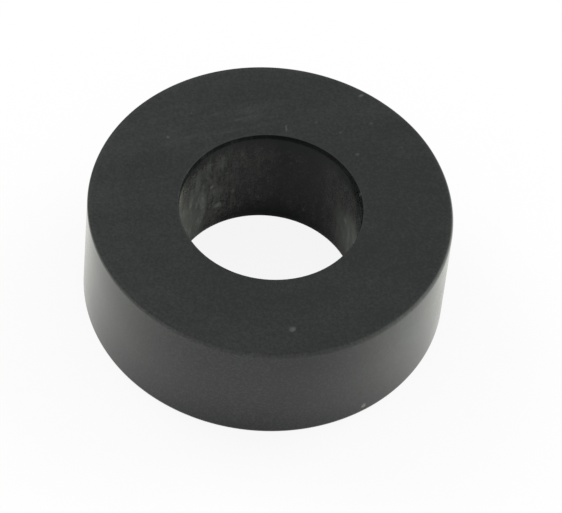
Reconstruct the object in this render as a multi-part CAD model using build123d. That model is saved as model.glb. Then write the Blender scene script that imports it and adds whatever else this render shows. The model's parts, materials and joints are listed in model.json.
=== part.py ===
"""Rubber bumper ring for the round rod of a table football game, in millimetres.

One moulded solid. It lies on its lower flat face: the origin is the centre of that
face, and the rod would run through it along +Z.
"""

import os

from build123d import *

# Driving dimensions
outer_diameter = 32.2
thickness = 11.5            # along the rod, from flat face to flat face
rod_diameter = 15.875       # the 5/8 inch steel rod that the ring rides on
rod_clearance = 0.0625      # gap all round between the rod and the bore
mouth_depth = 0.65          # how far down the bore its flared mouth reaches, at both ends
mouth_flare = 0.13          # how much wider, all round, the mouth is at the flat face
outer_rim_radius = 0.25     # soft rim where each flat face turns into the outer wall


def ring_section():
    """Half of the ring's cross section: x is the distance from the rod's axis, y the height."""
    bore_radius = rod_diameter / 2 + rod_clearance
    outer_radius = outer_diameter / 2
    middle = Pos((bore_radius + outer_radius) / 2, thickness / 2)
    section = middle * Rectangle(outer_radius - bore_radius, thickness)
    outer_corners = section.vertices().group_by(Axis.X)[-1]
    section = fillet(outer_corners, outer_rim_radius)
    bore_corners = section.vertices().group_by(Axis.X)[0]
    bore_wall = section.edges().sort_by(Axis.X)[0]
    return chamfer(bore_corners, mouth_depth, mouth_flare, reference=bore_wall)


def bumper_ring():
    """The whole ring: its half section turned once round the rod's axis."""
    return revolve(Plane.XZ * ring_section(), Axis.Z)


os.makedirs("parts", exist_ok=True)
export_step(bumper_ring(), "parts/bumper_ring.step")
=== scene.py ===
import json
import math

import bmesh
import bpy
from bpy.props import FloatProperty, FloatVectorProperty, IntProperty, PointerProperty
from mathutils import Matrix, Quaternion, Vector, noise


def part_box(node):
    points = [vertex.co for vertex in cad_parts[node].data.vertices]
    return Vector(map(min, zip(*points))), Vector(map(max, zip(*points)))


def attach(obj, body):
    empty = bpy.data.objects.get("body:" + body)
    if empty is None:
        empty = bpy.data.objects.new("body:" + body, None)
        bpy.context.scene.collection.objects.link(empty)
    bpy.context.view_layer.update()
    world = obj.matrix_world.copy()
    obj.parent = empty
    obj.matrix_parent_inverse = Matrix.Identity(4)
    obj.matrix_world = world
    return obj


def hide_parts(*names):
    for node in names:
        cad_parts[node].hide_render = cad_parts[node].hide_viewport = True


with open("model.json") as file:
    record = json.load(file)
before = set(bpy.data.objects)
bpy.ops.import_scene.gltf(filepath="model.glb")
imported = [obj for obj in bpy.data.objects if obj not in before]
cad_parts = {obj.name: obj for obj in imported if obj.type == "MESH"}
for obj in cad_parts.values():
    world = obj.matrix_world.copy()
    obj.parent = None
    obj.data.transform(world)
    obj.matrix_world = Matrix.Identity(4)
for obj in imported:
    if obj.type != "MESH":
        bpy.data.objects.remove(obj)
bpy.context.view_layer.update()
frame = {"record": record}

bl_info = {
    "name": "Rubber Rod Bumper",
    "version": (1, 0, 0),
    "blender": (4, 5, 0),
    "location": "3D View > Sidebar > Bumper",
    "description": "Surface, light and camera for a rubber bumper ring that rides on a games-table rod",
    "category": "Object",
}

NODE = "bumper_ring"
MM = 0.001

LOW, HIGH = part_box(NODE)
BORE = next(mount for mount in frame["record"]["mounts"] if mount["name"] == "bore")
OUTER_RADIUS = HIGH.x
HEIGHT = HIGH.z - LOW.z
BORE_RADIUS = BORE["dims"]["r_mm"] * MM
MOUTH_DEPTH = (HEIGHT - BORE["dims"]["length_mm"] * MM) / 2

# The same in millimetres, for the rubber's patterns
OUTER_MM = OUTER_RADIUS / MM
BORE_MM = BORE_RADIUS / MM
TOP_MM = HEIGHT / MM


# Sizes and colours that a user would change


class BumperSurface(bpy.types.PropertyGroup):
    """The ring's shape at its rims, and the look of its rubber."""

    steps_round: IntProperty(
        name="Steps round", description="Divisions round the ring", default=480, min=64)
    rim_steps: IntProperty(
        name="Rim steps", description="Divisions across each of the two bends of a soft rim",
        default=8, min=2)
    flat_steps: IntProperty(
        name="Flat steps", description="Divisions across each face and each wall", default=20, min=4)
    mouth_depth: FloatProperty(
        name="Mouth depth", description="How far down the bore its flared mouth reaches",
        default=MOUTH_DEPTH, unit="LENGTH", precision=5)
    mouth_lean: FloatProperty(
        name="Mouth lean", description="How far the flare leans out where it meets the face",
        default=math.radians(20), subtype="ANGLE")
    mouth_nose: FloatProperty(
        name="Mouth nose", description="Small radius between the flare and the face",
        default=0.04 * MM, unit="LENGTH", precision=5)
    mouth_play: FloatProperty(
        name="Mouth unevenness", description="How much deeper the flare is on one side of the bore",
        default=0.12 * MM, unit="LENGTH", precision=5)
    mouth_side: FloatProperty(
        name="Mouth side", description="Which way round the ring the flare is deepest",
        default=math.radians(40), subtype="ANGLE")
    edge_depth: FloatProperty(
        name="Edge depth", description="How far down the outer wall its soft edge reaches",
        default=0.50 * MM, unit="LENGTH", precision=5)
    edge_lean: FloatProperty(
        name="Edge lean", description="How far the soft edge leans in before its nose",
        default=math.radians(24), subtype="ANGLE")
    edge_nose: FloatProperty(
        name="Edge nose", description="Radius between the soft edge and the face",
        default=0.26 * MM, unit="LENGTH", precision=5)
    edge_play: FloatProperty(
        name="Edge unevenness", description="How much softer the outer edge is on one side of the ring",
        default=0.32 * MM, unit="LENGTH", precision=5)
    edge_side: FloatProperty(
        name="Edge side", description="Which way round the ring the outer edge is softest",
        default=math.radians(-50), subtype="ANGLE")
    foot_depth: FloatProperty(
        name="Foot edge depth", description="How far up the outer wall the crisper lower edge reaches",
        default=0.36 * MM, unit="LENGTH", precision=5)
    rubber: FloatVectorProperty(
        name="Rubber", description="Carbon-black body colour",
        default=(0.0015, 0.0034, 0.0036), size=3, subtype="COLOR", min=0, max=1)
    # The dust colour also carries the painted light and shade that the dust masks hold.
    dust: FloatVectorProperty(
        name="Dust", description="Fine grey dust and rubbed marks",
        default=(0.32, 0.342, 0.302), size=3, subtype="COLOR", min=0, max=1)
    dust_film: FloatProperty(
        name="Dust film", description="Even film of dust on the faces and the outer wall",
        default=0.009, min=0, max=1, subtype="FACTOR")
    dust_cover: FloatProperty(
        name="Dust cover", description="How much of the rubber clouds, smears and single marks hide",
        default=0.7, min=0, max=1, subtype="FACTOR")
    wipe_angle: FloatProperty(
        name="Wipe angle", description="Which way a cloth was drawn over the upper face",
        default=math.radians(22), subtype="ANGLE")
    roughness: FloatProperty(
        name="Roughness", description="Satin of the clean rubber",
        default=0.12, min=0, max=1, subtype="FACTOR")
    bore_roughness: FloatProperty(
        name="Bore roughness", description="Duller finish of the bore's wall",
        default=0.2, min=0, max=1, subtype="FACTOR")
    dulling: FloatProperty(
        name="Dulling", description="How much rougher a full layer of dust is than the rubber",
        default=0.57, min=0, max=1, subtype="FACTOR")
    sheen: FloatProperty(
        name="Dusty sheen", description="Pale bloom that the fine dust gives at grazing angles",
        default=0.5, min=0, max=1, subtype="FACTOR")
    sheen_roughness: FloatProperty(
        name="Sheen roughness", description="How far that bloom spreads from the edges",
        default=0.2, min=0, max=1, subtype="FACTOR")
    sheen_tint: FloatVectorProperty(
        name="Sheen tint", description="Colour of the bloom",
        default=(1.0, 1.0, 0.88), size=3, subtype="COLOR", min=0, max=1)
    grain: FloatProperty(
        name="Grain height", description="Height of the moulded surface's fine grain",
        default=0.0005 * MM, unit="LENGTH", precision=7)


class BumperStudio(bpy.types.PropertyGroup):
    """The table top, the light and the camera."""

    table_size: FloatProperty(
        name="Table size", description="Side of the square white table top",
        default=2.0, unit="LENGTH")
    table_colour: FloatVectorProperty(
        name="Table colour", description="White of the table top",
        default=(0.95, 0.95, 0.95), size=3, subtype="COLOR", min=0, max=1)
    shade_kept: FloatProperty(
        name="Shade kept", description="Share of the ring's soft shade that shows on the table",
        default=0.12, min=0, max=1, subtype="FACTOR")
    bore_shade: FloatProperty(
        name="Bore shade", description="Share of the lit table in the bore that the gloss doesn't see",
        default=0.5, min=0, max=1, subtype="FACTOR")
    bore_white: FloatProperty(
        name="White in the bore", description="How white that share is, away from the bore's far side",
        default=0.22, min=0, max=1, subtype="FACTOR")
    contact_white: FloatProperty(
        name="White at the foot", description="How white the gloss sees the table at the ring's foot",
        default=0.5, min=0, max=1, subtype="FACTOR")
    contact_width: FloatProperty(
        name="Foot shade width", description="How far from the foot the gloss sees the table less white",
        default=3.4 * MM, unit="LENGTH", precision=4)
    near_shade: FloatProperty(
        name="Near shade", description="How much less white the gloss sees the table in front",
        default=0.6, min=0, max=1, subtype="FACTOR")
    ahead_shade: FloatProperty(
        name="Shade ahead", description="How much less white that is again, farther out in front",
        default=0.45, min=0, max=1, subtype="FACTOR")
    gloss_tint: FloatVectorProperty(
        name="Gloss tint", description="White of the table as the gloss sees it",
        default=(0.985, 1.0, 0.96), size=3, subtype="COLOR", min=0, max=1)
    room_light: FloatProperty(
        name="Room light", description="Strength of the even pale light all round",
        default=0.7, min=0)
    lamp_power: FloatProperty(
        name="Lamp power", description="Power of each soft lamp beside the table",
        default=1.1, unit="POWER")
    lamp_azimuth: FloatProperty(
        name="Lamp azimuth", description="How far round from the front each lamp stands",
        default=math.radians(125), subtype="ANGLE")
    lamp_size: FloatProperty(
        name="Lamp size", description="Side of each soft square lamp", default=0.3, unit="LENGTH")
    lamp_distance: FloatProperty(
        name="Lamp distance", description="From the ring to each lamp", default=0.6, unit="LENGTH")
    lamp_elevation: FloatProperty(
        name="Lamp elevation", description="Height of the lamps above the horizon",
        default=math.radians(38), subtype="ANGLE")
    distance: FloatProperty(
        name="Camera distance", description="From the middle of the ring to the camera",
        default=0.3703, unit="LENGTH")
    elevation: FloatProperty(
        name="Elevation", description="Height of the camera above the horizon",
        default=math.radians(51.73), subtype="ANGLE")
    roll: FloatProperty(
        name="Roll", description="Lean of the camera about its own line of sight",
        default=math.radians(5.72), subtype="ANGLE")
    aim_right: FloatProperty(
        name="Aim right", description="How far right of the ring's middle the camera looks",
        default=1.248 * MM, unit="LENGTH", precision=5)
    aim_down: FloatProperty(
        name="Aim down", description="How far below the ring's middle the camera looks",
        default=0.861 * MM, unit="LENGTH", precision=5)
    focal: FloatProperty(
        name="Focal length", description="Lens on a 36 mm wide sensor, in millimetres",
        default=267.5, unit="CAMERA")


# Shader maths


class Shade:
    """A number in a material, which takes part in plain arithmetic."""

    def __init__(self, tree, socket):
        self.tree = tree
        self.socket = socket

    def math(self, operation, *values):
        node = self.tree.node("ShaderNodeMath", {"operation": operation}, dict(enumerate(values)))
        return Shade(self.tree, node.outputs[0])

    def __add__(self, other):
        return self.math("ADD", self, other)

    def __radd__(self, other):
        return self.math("ADD", other, self)

    def __sub__(self, other):
        return self.math("SUBTRACT", self, other)

    def __rsub__(self, other):
        return self.math("SUBTRACT", other, self)

    def __mul__(self, other):
        return self.math("MULTIPLY", self, other)

    def __rmul__(self, other):
        return self.math("MULTIPLY", other, self)

    def __truediv__(self, other):
        return self.math("DIVIDE", self, other)

    def __rtruediv__(self, other):
        return self.math("DIVIDE", other, self)

    def __pow__(self, other):
        return self.math("POWER", self, other)

    def __rpow__(self, other):
        return self.math("POWER", other, self)

    def most(self, other):
        return self.math("MAXIMUM", self, other)

    def ramp(self, start, end):
        """0 at start, 1 at end, and smooth between them; start may be the larger."""
        values = {"Value": self, "From Min": start, "From Max": end}
        node = self.tree.node("ShaderNodeMapRange", {"interpolation_type": "SMOOTHSTEP"}, values)
        return Shade(self.tree, node.outputs[0])


class Tree:
    """Adds nodes to a material or world."""

    def __init__(self, owner):
        owner.use_nodes = True
        self.nodes = owner.node_tree.nodes
        self.links = owner.node_tree.links
        self.nodes.clear()

    def node(self, kind, settings=None, values=None):
        """One node: its settings first, then a value, a link or a Shade for each named socket."""
        node = self.nodes.new(kind)
        for name, value in (settings or {}).items():
            setattr(node, name, value)
        for key, value in (values or {}).items():
            socket = node.inputs[key]
            if isinstance(value, Shade):
                value = value.socket
            if isinstance(value, bpy.types.NodeSocket):
                self.links.new(value, socket)
            else:
                socket.default_value = value
        return node

    def vector(self, operation, *values, **named):
        """Vector Math; values are in the order of the node's sockets."""
        values = {**dict(enumerate(values)), **named}
        return self.node("ShaderNodeVectorMath", {"operation": operation}, values).outputs[0]

    def parts(self, vector):
        """The three numbers of a vector."""
        split = self.node("ShaderNodeSeparateXYZ", values={0: vector})
        return tuple(Shade(self, out) for out in split.outputs)

    def glow(self, colour, strength=1.0):
        """A plain light of its own."""
        return self.node("ShaderNodeEmission", values={"Color": colour, "Strength": strength}).outputs[0]

    def blend(self, share, first, second):
        """Two shaders mixed; the share is the second one's."""
        return self.node("ShaderNodeMixShader", values={0: share, 1: first, 2: second}).outputs[0]

    def finish(self, shader, kind="ShaderNodeOutputMaterial"):
        """Joins the finished shader to the output."""
        self.node(kind, values={"Surface": shader})


# Materials

# Single flecks and short scuffs that lie where they fell. Each has its place and half its width in
# millimetres, the angle of a line in degrees and half its length (None for a round one), and how much
# dust it holds.
MARKS = (
    ((2.89, -13.23, TOP_MM), 0.36, 0, None, 0.22),
    ((0.68, 9.02, TOP_MM), 0.11, -83, 0.55, 0.16),
    ((7.04, 13.72, TOP_MM), 0.16, 25, 0.42, 0.20),
    ((5.46, 9.15, TOP_MM), 0.16, 0, None, 0.13),
    ((7.14, 6.84, TOP_MM), 0.19, 30, 0.26, 0.14),
    ((8.17, 10.60, TOP_MM), 0.20, 0, None, 0.08),
    ((-9.72, 6.65, TOP_MM), 0.20, 0, None, 0.15),
    ((-7.88, 9.70, TOP_MM), 0.17, 0, None, 0.12),
    ((3.29, 10.07, TOP_MM), 0.17, 0, None, 0.08),
    ((11.06, 8.15, TOP_MM), 0.18, 0, None, 0.06),
    ((11.44, 6.97, TOP_MM), 0.10, 2, 0.45, 0.04),
    ((7.70, 2.46, 11.32), 0.24, 0, None, 0.20),
    ((9.82, -12.76, 0.90), 0.32, 0, None, 0.90),
    ((-5.45, 5.86, 6.09), 0.28, 0, None, 0.90),
    ((-4.84, 6.37, 2.98), 0.44, 0, None, 1.00),
    ((-3.56, 7.17, 4.27), 0.30, 0, None, 0.40),
    ((6.71, 4.36, 5.12), 0.40, 0, None, 0.45),
    ((2.94, 7.44, 2.29), 0.18, 0, None, 0.20),
)

# The cloth's longest smear on the upper face: its middle, half its width and half its length
SMEAR = ((-6.5, 8.5, TOP_MM), 3.6, 9.5)


class RubberFinish(Tree):
    """Satin black rubber: grain, a wiped dust film, dust flecks and the bore's rubbed streaks, with
    painted light and shade in the film and in the bore.

    Places are in millimetres, and dust is a share from 0 to 1.
    """

    def __init__(self, look):
        self.material = bpy.data.materials.new("satin_rubber")
        super().__init__(self.material)
        self.look = look
        place = self.node("ShaderNodeTexCoord").outputs["Object"]
        self.point = self.vector("SCALE", place, Scale=1 / MM)
        self.x, self.y, self.z = self.parts(self.point)
        self.height = self.z / TOP_MM
        self.radius = (self.x * self.x + self.y * self.y) ** 0.5
        self.side = self.x.most(self.x * -1)
        self.in_bore = self.radius.ramp(BORE_MM + 0.3, BORE_MM + 0.1)

    def stretched(self, *squeeze):
        """The place, squeezed along each axis."""
        return self.vector("MULTIPLY", self.point, squeeze)

    def turned(self, x, y, angle):
        """How far a step from a centre goes along a line at an angle, and how far across it."""
        along = x * math.cos(angle) + y * math.sin(angle)
        across = y * math.cos(angle) - x * math.sin(angle)
        return along, across

    def wiped(self, squeeze):
        """The place, squeezed along the way that a cloth went over the face."""
        along, across = self.turned(self.x, self.y, self.look.wipe_angle)
        values = {0: along * squeeze, 1: across, 2: self.z}
        return self.node("ShaderNodeCombineXYZ", values=values).outputs[0]

    def cloud(self, place, scale, detail=2.0, rough=0.5):
        """Soft noise round 0.5, with so many swells to the millimetre."""
        values = {"Vector": place, "Scale": scale, "Detail": detail, "Roughness": rough}
        return Shade(self, self.node("ShaderNodeTexNoise", values=values).outputs[0])

    def flecks(self, spacing, size, share):
        """Round dust flecks, one in some of the cells of a scattered grid."""
        values = {"Vector": self.point, "Scale": 1 / spacing, "Randomness": 1.0}
        cells = self.node("ShaderNodeTexVoronoi", {"feature": "F1"}, values)
        edge = size / spacing
        near = Shade(self, cells.outputs["Distance"]).ramp(edge, 0.4 * edge)
        first, second = self.parts(cells.outputs["Color"])[:2]
        chosen = first.ramp(1 - share, 1 - share + 0.01)
        strength = second * 0.7 + 0.3
        return near * chosen * strength

    def ragged(self, amount):
        """The same place pushed about by a little noise, for marks with uneven edges."""
        values = {"Vector": self.point, "Scale": 3.0, "Detail": 2.0}
        push = self.node("ShaderNodeTexNoise", values=values).outputs["Color"]
        push = self.vector("SCALE", self.vector("SUBTRACT", push, (0.5, 0.5, 0.5)), Scale=amount)
        return self.parts(self.vector("ADD", self.point, push))

    def spot(self, place, centre, size, angle=0.0, length=None):
        """One mark, soft towards its edge: round, or a short line at an angle."""
        x, y, z = (here - middle for here, middle in zip(place, centre))
        along, across = self.turned(x, y, angle)
        off = (along / (length or size)) ** 2 + (across / size) ** 2 + (z / size) ** 2
        return off.ramp(1.0, 0.0)

    def haze_and_painted_light(self):
        """The thin film of dust on the faces and the outer wall, cloudy and wiped, with painted light:
        the upper face is lighter towards the left and at its outer edge, and the outer wall is lighter
        on its right, partly dust there.
        """
        look = self.look
        on_wall = (self.radius / OUTER_MM).ramp(0.985, 0.995)
        fine = (self.cloud(self.point, 4.4, detail=1.0, rough=0.8) - 0.5) * 0.14
        broad = (self.cloud(self.wiped(0.5), 0.3) - 0.5) * 0.06
        clouds = broad + fine * (1 + on_wall)
        blotch = self.cloud(self.point, 0.9, detail=4.0, rough=0.75).ramp(0.42, 0.66)
        streaks = self.cloud(self.wiped(0.10), 1.3, detail=3.0, rough=0.6).ramp(0.35, 0.75)
        middle, width, length = SMEAR
        wipe = self.spot((self.x, self.y, self.z), middle, width, look.wipe_angle, length)
        smears = streaks * (0.007 + wipe * (0.016 + blotch * 0.044))
        # Dust and painted light: the outer wall is lighter on its right, more so higher up.
        flank_dust_and_light = self.x.ramp(7.0, 14.0) * self.height.ramp(-0.4, 0.6) * on_wall * (0.10 + blotch * 0.08)
        # Painted light: the upper face is lighter towards the left and back, and in a band near its
        # outer edge on the left, standing in for the brighter light on that side.
        left = (self.y * 0.2 - self.x).ramp(2.0, 15.0) + (self.y - self.x * 0.5).ramp(-2.0, 15.0) * 0.7
        painted_crescent_light = self.radius.ramp(12.4, 13.6) * (self.x * -0.85 - self.y * 0.5).ramp(2.0, 10.0)
        # Painted light: the upper face is lighter along its outer edge, which fills the dip in its
        # reflection where the face turns down.
        painted_edge_light = self.radius.ramp(OUTER_MM - 0.6, OUTER_MM - 0.2) * self.height.ramp(0.92, 0.99)
        painted_face_light = painted_edge_light * 0.018 + left * 0.008 + painted_crescent_light * 0.007
        return look.dust_film + painted_face_light + (clouds + smears + flank_dust_and_light) * look.dust_cover

    def bore_dust_and_shade(self):
        """Dust rubbed into the bore, thick and mottled on one side with streaks along the axis, and
        painted light and shade: the side walls are lighter low down, and the wall is darker towards its
        foot and under the mouth.
        """
        height = self.height
        grime = self.cloud(self.stretched(1, 1, 0.5), 1.0, detail=4.0, rough=0.85).ramp(0.37, 0.72)
        crumbs = self.cloud(self.point, 3.2, rough=0.8).ramp(0.44, 0.72)
        streaks = self.cloud(self.stretched(1, 0.3, 0.12), 2.4, detail=3.0, rough=0.7).ramp(0.38, 0.68)
        left = self.x.ramp(-1.5, -6.5)
        right = self.x.ramp(4.0, 7.0)
        clean = self.x.ramp(-1.5, 1.0) * self.x.ramp(6.0, 3.5) * height.ramp(0.0, 0.5)
        rubbed = (0.02 + grime * 0.13 + streaks * 0.04) * (1 - clean * 0.8) + crumbs * 0.06
        caked = (grime * 0.21 + streaks * 0.25 + crumbs * 0.20) ** 1.5
        thick = left * (0.06 + caked * 1.5) * (1.3 - height * 0.8)
        # Partly real streaks and partly painted light: the bore's left and right walls are lighter in
        # their lower part, a little more on the right.
        sides = self.side.ramp(5.2, 7.5) * (self.side.ramp(7.97, 7.75) * 0.85 + 0.15)
        lit_side_streaks = sides * height.ramp(0.75, 0.30) * (1 + right * 0.2)
        lit_side_streaks = lit_side_streaks * (0.27 + grime * 0.08 + streaks * 0.30)
        # Painted shade: the dust thins out towards the bore's foot, so the wall darkens downwards as in
        # the shade at the bottom of the bore.
        uneven = self.cloud(self.point, 0.8, detail=3.0) * 0.16
        foot = (height + uneven + self.side * 0.02).ramp(0.10, 0.40)
        # Painted shade: the dust thins out just under the mouth, so a dark band of shade runs below the
        # rim, a little lower on the right.
        mouth = (height + self.x.ramp(6.0, 8.0) * 0.03).ramp(0.96, 0.79) * 0.85 + 0.15
        flare = height.ramp(0.88, 0.97) * 0.018
        return self.in_bore * (foot * mouth * (rubbed + thick + lit_side_streaks) + flare)

    def marks(self):
        """The single flecks and scuffs together."""
        place = self.ragged(0.30)
        return sum(
            self.spot(place, centre, size, math.radians(angle), length) * strength
            for centre, size, angle, length, strength in MARKS)

    def build(self):
        look = self.look
        specks = (
            self.flecks(spacing=1.6, size=0.07, share=0.25) * 0.035
            + self.flecks(spacing=3.4, size=0.10, share=0.20) * 0.05)
        # Dust, with the painted light and shade of the face film and the bore carried in the same mask.
        dust = (
            self.haze_and_painted_light() * (1 - self.in_bore) + self.bore_dust_and_shade() + specks
            + self.marks() * look.dust_cover)
        colour = self.node(
            "ShaderNodeMix", {"data_type": "RGBA"},
            {"Factor": dust, "A": (*look.rubber, 1), "B": (*look.dust, 1)})
        mottle = (self.cloud(self.point, 0.8, detail=3.0) - 0.5) * 0.10
        duller = self.in_bore * (look.bore_roughness - look.roughness) + dust * look.dulling
        grain = self.cloud(self.point, 7.0, rough=0.6)
        drawn = self.cloud(self.stretched(1, 1, 0.05), 4.0) * self.in_bore
        bump = self.node(
            "ShaderNodeBump",
            values={"Strength": 1.0, "Distance": look.grain, "Height": grain + drawn * 1.5})
        body = {"Base Color": colour.outputs["Result"], "Roughness": look.roughness + mottle + duller,
                "IOR": 1.5, "Normal": bump.outputs[0]}
        bloom = {"Sheen Weight": look.sheen, "Sheen Roughness": look.sheen_roughness,
                 "Sheen Tint": (*look.sheen_tint, 1)}
        bloomed = self.node("ShaderNodeBsdfPrincipled", values={**body, **bloom})
        bare = self.node("ShaderNodeBsdfPrincipled", values=body)
        # Painted shade: the bore's right side takes the copy without sheen, so that a dark band of shade
        # runs down it.
        sheenless_shade_side = self.in_bore * self.x.ramp(2.0, 7.0)
        self.finish(self.blend(sheenless_shade_side, bloomed.outputs[0], bare.outputs[0]))
        return self.material


# Where the gloss sees the table less white
IN_FRONT = (0.4, 1.1)       # from none to full, by the cosine of the angle from straight ahead
AHEAD_FALL = 3              # how sharply the shade farther out narrows to straight ahead
FAR_FOOT = (0.45, 0.95)     # from none to full, by how far back it is in the bore's radius


def table_material(studio):
    """White table: plain white to the eye, with a little of the ring's real shadow; in gloss a glow with
    painted shade at the ring's foot, in the bore and in front.
    """
    material = bpy.data.materials.new("white_table")
    tree = Tree(material)
    path = tree.node("ShaderNodeLightPath").outputs
    seen = Shade(tree, path["Is Camera Ray"]).most(Shade(tree, path["Is Transmission Ray"]))
    mirrored = Shade(tree, path["Is Glossy Ray"])
    x, y = tree.parts(tree.node("ShaderNodeTexCoord").outputs["Object"])[:2]
    radius = (x * x + y * y) ** 0.5
    reach = OUTER_RADIUS + studio.contact_width
    outside = radius.ramp(BORE_RADIUS, OUTER_RADIUS)
    in_the_open = radius.ramp(OUTER_RADIUS, reach)
    farther = radius.ramp(reach, reach + 2 * studio.contact_width)
    in_front = (y * -1 / radius).ramp(*IN_FRONT)
    far_foot = (y / BORE_RADIUS).ramp(*FAR_FOOT)
    share = (
        (1 - outside) * studio.bore_shade
        + (outside * studio.contact_white + in_the_open * (1 - studio.contact_white))
        * (1 - in_front * studio.near_shade))
    level = (
        outside * (1 - in_front ** AHEAD_FALL * farther * studio.ahead_shade)
        + (1 - outside) * (1 - far_foot) * studio.bore_white)
    matt = tree.node("ShaderNodeBsdfDiffuse", values={"Color": (*studio.table_colour, 1)}).outputs[0]
    dark = tree.glow((1, 1, 1, 1), 0.0)
    in_gloss = tree.blend(level, dark, tree.glow((*studio.gloss_tint, 1)))
    plain = tree.blend(seen, in_gloss, tree.glow((1, 1, 1, 1)))
    shown = seen * (1 - studio.shade_kept) + mirrored * share
    tree.finish(tree.blend(shown, matt, plain))
    return material


# The ring

RIM_WANDER = 0.3            # how much the rims' unevenness wanders, as a share of it
RIM_SWELLS = 2.5            # how many swells of that wander fit in the ring's radius


def soft_corner(depth, lean, nose, steps):
    """A corner as (distance from the wall's line, distance below the face), from the wall to the face.

    A wide bend leaves the wall and leans over; a small nose turns on into the face.
    """
    wide = nose + (depth - nose) / math.sin(lean)
    middle = (wide - (wide - nose) * math.cos(lean), nose)
    points = []
    for i in range(steps + 1):
        turn = lean * i / steps
        points.append((wide * (1 - math.cos(turn)), depth - wide * math.sin(turn)))
    for i in range(1, steps + 1):
        turn = lean + (math.pi / 2 - lean) * i / steps
        points.append((middle[0] - nose * math.cos(turn), middle[1] - nose * math.sin(turn)))
    return points


def between(start, end, steps):
    """Points inside a straight run, crowded towards its ends so that the flats shade flat."""
    shares = ((1 - math.cos(math.pi * i / steps)) / 2 for i in range(1, steps))
    return [(start[0] + (end[0] - start[0]) * s, start[1] + (end[1] - start[1]) * s) for s in shares]


def ring_section(surface, mouth_depth, edge_depth):
    """The closed half section: up the bore, over the top, down the outside and back below."""
    mouth = soft_corner(mouth_depth, surface.mouth_lean, surface.mouth_nose, surface.rim_steps)
    edge_nose = surface.edge_nose * edge_depth / surface.edge_depth
    foot_nose = surface.edge_nose * surface.foot_depth / surface.edge_depth
    edge = soft_corner(edge_depth, surface.edge_lean, edge_nose, surface.rim_steps)
    foot = soft_corner(surface.foot_depth, surface.edge_lean, foot_nose, surface.rim_steps)
    corners = [
        [(BORE_RADIUS + across, HEIGHT - down) for across, down in mouth],
        [(OUTER_RADIUS - across, HEIGHT - down) for across, down in reversed(edge)],
        [(OUTER_RADIUS - across, down) for across, down in foot],
        [(BORE_RADIUS + across, down) for across, down in reversed(mouth)],
    ]
    section = []
    for i, corner in enumerate(corners):
        section += corner
        section += between(corner[-1], corners[(i + 1) % len(corners)][0], surface.flat_steps)
    return section


def ring_mesh(surface):
    """The section turned round the bore's axis, with rims that are softer on one side."""
    mesh = bmesh.new()
    loops = []
    for i in range(surface.steps_round):
        turn = 2 * math.pi * i / surface.steps_round
        out = Vector((math.cos(turn), math.sin(turn), 0))
        wander = RIM_WANDER * noise.noise(out * RIM_SWELLS)
        mouth = surface.mouth_depth + surface.mouth_play * (math.cos(turn - surface.mouth_side) + wander)
        edge = surface.edge_depth + surface.edge_play * (math.cos(turn - surface.edge_side) + wander)
        section = ring_section(surface, mouth, edge)
        loops.append([mesh.verts.new(out * r + Vector((0, 0, LOW.z + z))) for r, z in section])
    for i, loop in enumerate(loops):
        other = loops[(i + 1) % len(loops)]
        for j in range(len(loop)):
            k = (j + 1) % len(loop)
            mesh.faces.new((loop[j], other[j], other[k], loop[k]))
    bmesh.ops.recalc_face_normals(mesh, faces=mesh.faces)
    data = bpy.data.meshes.new("bumper_surface")
    mesh.to_mesh(data)
    mesh.free()
    data.shade_smooth()
    return data


class BUMPER_OT_ring(bpy.types.Operator):
    """Build the rubber ring's surface round the fixed frame"""

    bl_idname = "bumper.ring"
    bl_label = "Rubber Ring"

    def execute(self, context):
        surface = context.scene.bumper_surface
        ring = bpy.data.objects.new("bumper_surface", ring_mesh(surface))
        context.scene.collection.objects.link(ring)
        ring.data.materials.append(RubberFinish(surface).build())
        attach(ring, "root")
        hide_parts(NODE)
        return {"FINISHED"}


# Studio


def add_table(scene, studio):
    half = studio.table_size / 2
    data = bpy.data.meshes.new("table_top")
    corners = [(-half, -half, LOW.z), (half, -half, LOW.z), (half, half, LOW.z), (-half, half, LOW.z)]
    data.from_pydata(corners, [], [(0, 1, 2, 3)])
    data.materials.append(table_material(studio))
    table = bpy.data.objects.new("table_top", data)
    scene.collection.objects.link(table)


def add_room(scene, studio):
    """An even white room."""
    world = bpy.data.worlds.new("white_room")
    scene.world = world
    tree = Tree(world)
    white = {"Color": (1, 1, 1, 1), "Strength": studio.room_light}
    room = tree.node("ShaderNodeBackground", values=white)
    tree.finish(room.outputs[0], "ShaderNodeOutputWorld")


def direction(azimuth, elevation):
    """Unit vector towards a place round the ring; azimuth 0 is the front, 90 degrees the right."""
    flat = math.cos(elevation)
    return Vector((math.sin(azimuth) * flat, -math.cos(azimuth) * flat, math.sin(elevation)))


def add_lamps(scene, studio):
    """A soft lamp at each side. They light table and ring, and the gloss doesn't mirror them."""
    for side, turn in (("left", -1), ("right", 1)):
        lamp = bpy.data.lights.new(f"{side}_lamp", "AREA")
        lamp.energy = studio.lamp_power
        lamp.size = studio.lamp_size
        holder = bpy.data.objects.new(f"{side}_lamp", lamp)
        out = direction(turn * studio.lamp_azimuth, studio.lamp_elevation)
        holder.location = out * studio.lamp_distance
        holder.rotation_euler = (-out).to_track_quat("-Z", "Y").to_euler()
        holder.visible_glossy = False
        scene.collection.objects.link(holder)


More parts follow.
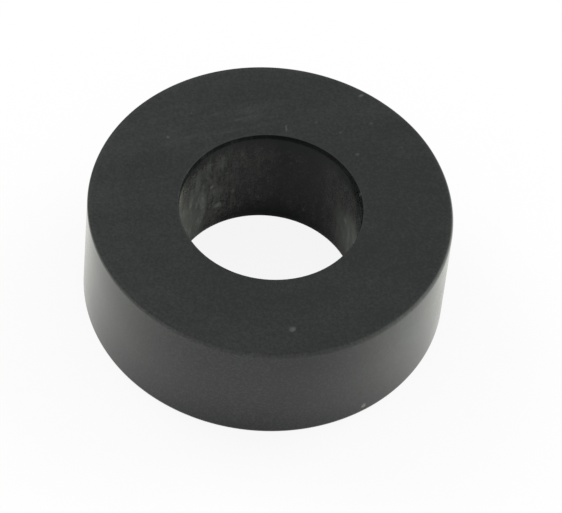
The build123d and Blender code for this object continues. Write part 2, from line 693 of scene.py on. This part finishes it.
def add_camera(scene, studio):
    camera = bpy.data.objects.new("camera", bpy.data.cameras.new("camera"))
    camera.data.lens = studio.focal
    camera.data.clip_start = 10 * MM
    middle = Vector((0, 0, LOW.z + HEIGHT / 2))
    back = direction(0, studio.elevation)
    camera.location = middle + back * studio.distance
    turn = Quaternion(back, studio.roll) @ (-back).to_track_quat("-Z", "Y")
    aim = Vector((studio.aim_right, -studio.aim_down, -studio.distance))
    to_aim = Vector((0, 0, -1)).rotation_difference(aim)
    camera.rotation_mode = "QUATERNION"
    camera.rotation_quaternion = turn @ to_aim
    scene.collection.objects.link(camera)
    scene.camera = camera


class BUMPER_OT_studio(bpy.types.Operator):
    """Set the white table, the soft light and the camera"""

    bl_idname = "bumper.studio"
    bl_label = "Table, Light and Camera"

    def execute(self, context):
        scene = context.scene
        studio = scene.bumper_studio
        scene.view_settings.view_transform = "Standard"
        add_table(scene, studio)
        add_room(scene, studio)
        add_lamps(scene, studio)
        add_camera(scene, studio)
        return {"FINISHED"}


class BUMPER_PT_panel(bpy.types.Panel):
    """Lists the bumper's sizes, colours and build steps"""

    bl_idname = "BUMPER_PT_panel"
    bl_label = "Rubber Rod Bumper"
    bl_space_type = "VIEW_3D"
    bl_region_type = "UI"
    bl_category = "Bumper"

    def draw(self, context):
        for group, operator in (("bumper_surface", "bumper.ring"), ("bumper_studio", "bumper.studio")):
            settings = getattr(context.scene, group)
            box = self.layout.box()
            for name in settings.__annotations__:
                box.prop(settings, name)
            box.operator(operator)


CLASSES = (BumperSurface, BumperStudio, BUMPER_OT_ring, BUMPER_OT_studio, BUMPER_PT_panel)


def register():
    for cls in CLASSES:
        bpy.utils.register_class(cls)
    bpy.types.Scene.bumper_surface = PointerProperty(type=BumperSurface)
    bpy.types.Scene.bumper_studio = PointerProperty(type=BumperStudio)


def unregister():
    del bpy.types.Scene.bumper_studio
    del bpy.types.Scene.bumper_surface
    for cls in reversed(CLASSES):
        bpy.utils.unregister_class(cls)


def main():
    register()
    bpy.ops.bumper.ring()
    bpy.ops.bumper.studio()


if __name__ == "__main__":
    main()
